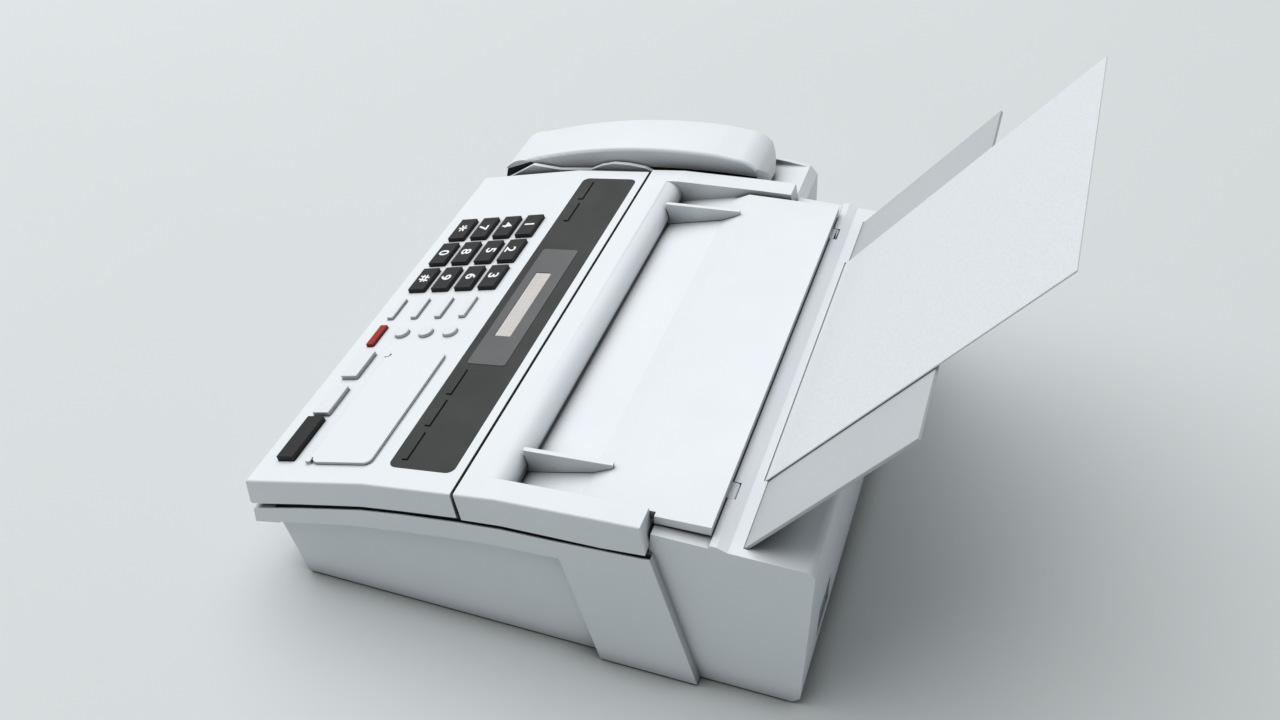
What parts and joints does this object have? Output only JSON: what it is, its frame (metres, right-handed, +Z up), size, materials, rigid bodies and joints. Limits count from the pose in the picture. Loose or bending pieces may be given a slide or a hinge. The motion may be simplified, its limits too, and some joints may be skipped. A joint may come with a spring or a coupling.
{
  "type": "fax machine",
  "caption": "Desktop fax machine with a side handset, sloping key panel, document cover with sheet guides and an upright paper tray.",
  "frame": {"origin": "on the desk under the middle of the whole machine with its tray and paper", "axes": "+X to the user's right, +Y to the rear, +Z up"},
  "size_m": [0.4, 0.4156, 0.2758],
  "materials": {
    "white_plastic": "fine satin moulding grain",
    "white_key_plastic": "smooth satin",
    "dark_key_plastic": "satin",
    "red_key_plastic": "smooth",
    "dark_strip_plastic": "fine texture",
    "grey_bezel_plastic": "fine texture",
    "display_window": "clear face over a pale display",
    "black_plastic": "satin",
    "tray_plastic": "fine grain",
    "paper": "uncoated",
    "black_rubber": "matte",
    "white_rubber": "matte",
    "internal_steel": "zinc plated",
    "aluminium_heatsink": "plain",
    "circuit_board": "solder mask",
    "gear_plastic": "natural acetal"
  },
  "bodies": {
    "base": {"main_housing": "white_plastic", "base_plate": "internal_steel", "rubber_feet": "black_rubber", "housing_screws": "internal_steel", "hinge_pins": "internal_steel", "main_board": "circuit_board", "power_supply": "internal_steel", "line_jacks": "black_plastic", "drive_motors": "internal_steel", "scan_bar": "black_plastic", "print_head": "aluminium_heatsink", "handset_cradle": "white_plastic"},
    "scan_roller": {"scan_roller": "white_rubber"},
    "scan_pinion": {"scan_pinion": "gear_plastic"},
    "print_roller": {"print_roller": "black_rubber"},
    "print_pinion": {"print_pinion": "gear_plastic"},
    "hook_switch": {"hook_switch": "black_plastic"},
    "handset": {"handset_top_shell": "white_plastic", "handset_bottom_shell": "black_plastic"},
    "panel": {"operation_panel": "white_plastic", "display_strip": "dark_strip_plastic", "display_bezel": "grey_bezel_plastic", "display_window": "display_window", "key_board": "circuit_board"},
    "directory_lid": {"directory_lid": "white_plastic"},
    "cover": {"top_cover": "white_plastic", "document_table": "white_plastic"},
    "guide_right": {"document_guide_right": "white_plastic"},
    "guide_left": {"document_guide_left": "white_plastic"},
    "guide_pinion": {"guide_pinion": "gear_plastic"},
    "tray": {"paper_tray": "tray_plastic"},
    "paper": {"paper_stack": "paper"},
    "function_key_1": {"function_key_1": "white_key_plastic"},
    "function_key_2": {"function_key_2": "white_key_plastic"},
    "function_key_3": {"function_key_3": "white_key_plastic"},
    "function_key_4": {"function_key_4": "white_key_plastic"},
    "key_0": {"key_0": "dark_key_plastic"},
    "key_1": {"key_1": "dark_key_plastic"},
    "key_2": {"key_2": "dark_key_plastic"},
    "key_3": {"key_3": "dark_key_plastic"},
    "key_4": {"key_4": "dark_key_plastic"},
    "key_5": {"key_5": "dark_key_plastic"},
    "key_6": {"key_6": "dark_key_plastic"},
    "key_7": {"key_7": "dark_key_plastic"},
    "key_8": {"key_8": "dark_key_plastic"},
    "key_9": {"key_9": "dark_key_plastic"},
    "key_hash": {"key_hash": "dark_key_plastic"},
    "key_star": {"key_star": "dark_key_plastic"},
    "mode_key_1": {"mode_key_1": "white_key_plastic"},
    "mode_key_2": {"mode_key_2": "white_key_plastic"},
    "round_key_1": {"round_key_1": "white_key_plastic"},
    "round_key_2": {"round_key_2": "white_key_plastic"},
    "round_key_3": {"round_key_3": "white_key_plastic"},
    "start_key": {"start_key": "dark_key_plastic"},
    "stop_key": {"stop_key": "red_key_plastic"},
    "touch_key_1": {"touch_key_1": "dark_strip_plastic"},
    "touch_key_2": {"touch_key_2": "dark_strip_plastic"},
    "touch_key_3": {"touch_key_3": "dark_strip_plastic"},
    "touch_key_4": {"touch_key_4": "dark_strip_plastic"},
    "touch_key_5": {"touch_key_5": "dark_strip_plastic"}
  },
  "joints": [
    {"name": "scan_roller_spin", "type": "hinge", "parent": "base", "child": "scan_roller", "pos_m": [0, -0.093, 0.06], "axis": [1, 0, 0], "continuous": true},
    {"name": "scan_pinion_spin", "type": "hinge", "parent": "base", "child": "scan_pinion", "pos_m": [-0.12, -0.07, 0.06], "axis": [1, 0, 0], "continuous": true},
    {"name": "print_roller_spin", "type": "hinge", "parent": "base", "child": "print_roller", "pos_m": [0, 0.021, 0.045], "axis": [1, 0, 0], "continuous": true},
    {"name": "print_pinion_spin", "type": "hinge", "parent": "base", "child": "print_pinion", "pos_m": [-0.12, 0.044, 0.045], "axis": [1, 0, 0], "continuous": true},
    {"name": "hook_switch_travel", "type": "slide", "parent": "base", "child": "hook_switch", "axis": [0, 0, 1], "range_m": [0, 0.003]},
    {"name": "handset_lift", "type": "slide", "parent": "base", "child": "handset", "axis": [0, 0, 1], "range_m": [0, 0.12]},
    {"name": "panel_hinge", "type": "hinge", "parent": "base", "child": "panel", "pos_m": [0, -0.2013, 0.059], "axis": [1, 0, 0], "range_deg": [0, 45]},
    {"name": "directory_lid_hinge", "type": "hinge", "parent": "panel", "child": "directory_lid", "pos_m": [0.134, -0.17278, 0.08604], "axis": [1, 0, 0], "range_deg": [0, 110]},
    {"name": "cover_hinge", "type": "hinge", "parent": "base", "child": "cover", "pos_m": [0, 0.0674, 0.1074], "axis": [-1, 0, 0], "range_deg": [0, 45]},
    {"name": "guide_right_slide", "type": "slide", "parent": "cover", "child": "guide_right", "axis": [-1, 0, 0], "range_m": [0, 0.053]},
    {"name": "guide_left_slide", "type": "slide", "parent": "cover", "child": "guide_left", "axis": [1, 0, 0], "range_m": [0, 0.053]},
    {"name": "guide_pinion_spin", "type": "hinge", "parent": "cover", "child": "guide_pinion", "pos_m": [0.0305, -0.0595, 0.0966], "axis": [0, 0, 1], "range_deg": [0, 543]},
    {"name": "tray_lift_out", "type": "slide", "parent": "base", "child": "tray", "axis": [0, 0.6032, 0.7976], "range_m": [0, 0.12]},
    {"name": "paper_draw", "type": "slide", "parent": "base", "child": "paper", "axis": [0, 0.6032, 0.7976], "range_m": [0, 0.09]},
    {"name": "function_key_1_press", "type": "slide", "parent": "panel", "child": "function_key_1", "axis": [0, 0.2744, -0.9616], "range_m": [0, 0.0012], "stiffness_N_per_m": 400},
    {"name": "function_key_2_press", "type": "slide", "parent": "panel", "child": "function_key_2", "axis": [0, 0.2744, -0.9616], "range_m": [0, 0.0012], "stiffness_N_per_m": 400},
    {"name": "function_key_3_press", "type": "slide", "parent": "panel", "child": "function_key_3", "axis": [0, 0.2744, -0.9616], "range_m": [0, 0.0012], "stiffness_N_per_m": 400},
    {"name": "function_key_4_press", "type": "slide", "parent": "panel", "child": "function_key_4", "axis": [0, 0.2744, -0.9616], "range_m": [0, 0.0012], "stiffness_N_per_m": 400},
    {"name": "key_0_press", "type": "slide", "parent": "panel", "child": "key_0", "axis": [0, 0.2744, -0.9616], "range_m": [0, 0.0012], "stiffness_N_per_m": 400},
    {"name": "key_1_press", "type": "slide", "parent": "panel", "child": "key_1", "axis": [0, 0.2744, -0.9616], "range_m": [0, 0.0012], "stiffness_N_per_m": 400},
    {"name": "key_2_press", "type": "slide", "parent": "panel", "child": "key_2", "axis": [0, 0.2744, -0.9616], "range_m": [0, 0.0012], "stiffness_N_per_m": 400},
    {"name": "key_3_press", "type": "slide", "parent": "panel", "child": "key_3", "axis": [0, 0.2744, -0.9616], "range_m": [0, 0.0012], "stiffness_N_per_m": 400},
    {"name": "key_4_press", "type": "slide", "parent": "panel", "child": "key_4", "axis": [0, 0.2744, -0.9616], "range_m": [0, 0.0012], "stiffness_N_per_m": 400},
    {"name": "key_5_press", "type": "slide", "parent": "panel", "child": "key_5", "axis": [0, 0.2744, -0.9616], "range_m": [0, 0.0012], "stiffness_N_per_m": 400},
    {"name": "key_6_press", "type": "slide", "parent": "panel", "child": "key_6", "axis": [0, 0.2744, -0.9616], "range_m": [0, 0.0012], "stiffness_N_per_m": 400},
    {"name": "key_7_press", "type": "slide", "parent": "panel", "child": "key_7", "axis": [0, 0.2744, -0.9616], "range_m": [0, 0.0012], "stiffness_N_per_m": 400},
    {"name": "key_8_press", "type": "slide", "parent": "panel", "child": "key_8", "axis": [0, 0.2744, -0.9616], "range_m": [0, 0.0012], "stiffness_N_per_m": 400},
    {"name": "key_9_press", "type": "slide", "parent": "panel", "child": "key_9", "axis": [0, 0.2744, -0.9616], "range_m": [0, 0.0012], "stiffness_N_per_m": 400},
    {"name": "key_hash_press", "type": "slide", "parent": "panel", "child": "key_hash", "axis": [0, 0.2744, -0.9616], "range_m": [0, 0.0012], "stiffness_N_per_m": 400},
    {"name": "key_star_press", "type": "slide", "parent": "panel", "child": "key_star", "axis": [0, 0.2744, -0.9616], "range_m": [0, 0.0012], "stiffness_N_per_m": 400},
    {"name": "mode_key_1_press", "type": "slide", "parent": "panel", "child": "mode_key_1", "axis": [0, 0.2744, -0.9616], "range_m": [0, 0.0012], "stiffness_N_per_m": 400},
    {"name": "mode_key_2_press", "type": "slide", "parent": "panel", "child": "mode_key_2", "axis": [0, 0.2744, -0.9616], "range_m": [0, 0.0012], "stiffness_N_per_m": 400},
    {"name": "round_key_1_press", "type": "slide", "parent": "panel", "child": "round_key_1", "axis": [0, 0.2744, -0.9616], "range_m": [0, 0.0012], "stiffness_N_per_m": 400},
    {"name": "round_key_2_press", "type": "slide", "parent": "panel", "child": "round_key_2", "axis": [0, 0.2744, -0.9616], "range_m": [0, 0.0012], "stiffness_N_per_m": 400},
    {"name": "round_key_3_press", "type": "slide", "parent": "panel", "child": "round_key_3", "axis": [0, 0.2744, -0.9616], "range_m": [0, 0.0012], "stiffness_N_per_m": 400},
    {"name": "start_key_press", "type": "slide", "parent": "panel", "child": "start_key", "axis": [0, 0.2744, -0.9616], "range_m": [0, 0.0012], "stiffness_N_per_m": 400},
    {"name": "stop_key_press", "type": "slide", "parent": "panel", "child": "stop_key", "axis": [0, 0.2744, -0.9616], "range_m": [0, 0.0012], "stiffness_N_per_m": 400},
    {"name": "touch_key_1_press", "type": "slide", "parent": "panel", "child": "touch_key_1", "axis": [0, 0.1683, -0.9857], "range_m": [0, 0.0008], "stiffness_N_per_m": 400},
    {"name": "touch_key_2_press", "type": "slide", "parent": "panel", "child": "touch_key_2", "axis": [0, 0.1683, -0.9857], "range_m": [0, 0.0008], "stiffness_N_per_m": 400},
    {"name": "touch_key_3_press", "type": "slide", "parent": "panel", "child": "touch_key_3", "axis": [0, 0.1683, -0.9857], "range_m": [0, 0.0008], "stiffness_N_per_m": 400},
    {"name": "touch_key_4_press", "type": "slide", "parent": "panel", "child": "touch_key_4", "axis": [0, 0.1683, -0.9857], "range_m": [0, 0.0008], "stiffness_N_per_m": 400},
    {"name": "touch_key_5_press", "type": "slide", "parent": "panel", "child": "touch_key_5", "axis": [0, 0.1683, -0.9857], "range_m": [0, 0.0008], "stiffness_N_per_m": 400}
  ],
  "couplings": [
    {"joint": "scan_pinion_spin", "follows": "scan_roller_spin", "ratio": -2.2857},
    {"joint": "print_pinion_spin", "follows": "print_roller_spin", "ratio": -2.2857},
    {"joint": "hook_switch_travel", "follows": "handset_lift", "ratio": 0.025},
    {"joint": "guide_left_slide", "follows": "guide_right_slide", "ratio": 1},
    {"joint": "guide_pinion_spin", "follows": "guide_right_slide", "rad_per_m": 178.57}
  ]
}
